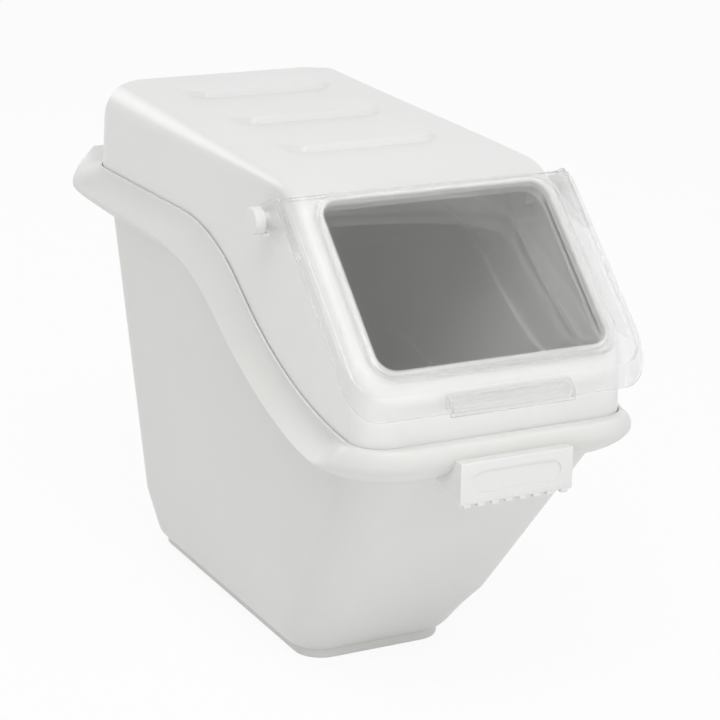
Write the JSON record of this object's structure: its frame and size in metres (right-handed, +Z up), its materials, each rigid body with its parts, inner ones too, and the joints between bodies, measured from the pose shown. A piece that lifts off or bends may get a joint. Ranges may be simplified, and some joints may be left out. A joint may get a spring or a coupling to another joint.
{
  "type": "ingredient bin with flip lid",
  "caption": "Counter-top dry-food bin with a swept rolled rim, lift-off hood and clear hinged lid over a sloping opening.",
  "frame": {"origin": "middle of the bounding box at the level of the foot", "axes": "+Z up, -Y towards the front with the sloping lid, X across the width"},
  "size_m": [0.2684, 0.601, 0.4299],
  "materials": {
    "tub_plastic": "satin moulded polyethylene, off-white and slightly translucent",
    "white_plastic": "satin moulded polyethylene, white",
    "clear_plastic": "glossy clear moulded plastic"
  },
  "bodies": {
    "tub": {"tub": "tub_plastic", "front_grip": "white_plastic"},
    "hood": {"hood": "white_plastic", "hinge_pin_left": "white_plastic", "hinge_pin_right": "white_plastic"},
    "lid": {"flip_lid": "clear_plastic"}
  },
  "joints": [
    {"name": "hood_lift_off", "type": "slide", "parent": "tub", "child": "hood", "axis": [0, 0, 1], "range_m": [0, 0.15]},
    {"name": "lid_hinge", "type": "hinge", "parent": "hood", "child": "lid", "pos_m": [0, -0.1265, 0.386], "axis": [-1, 0, 0], "range_deg": [0, 90]}
  ]
}
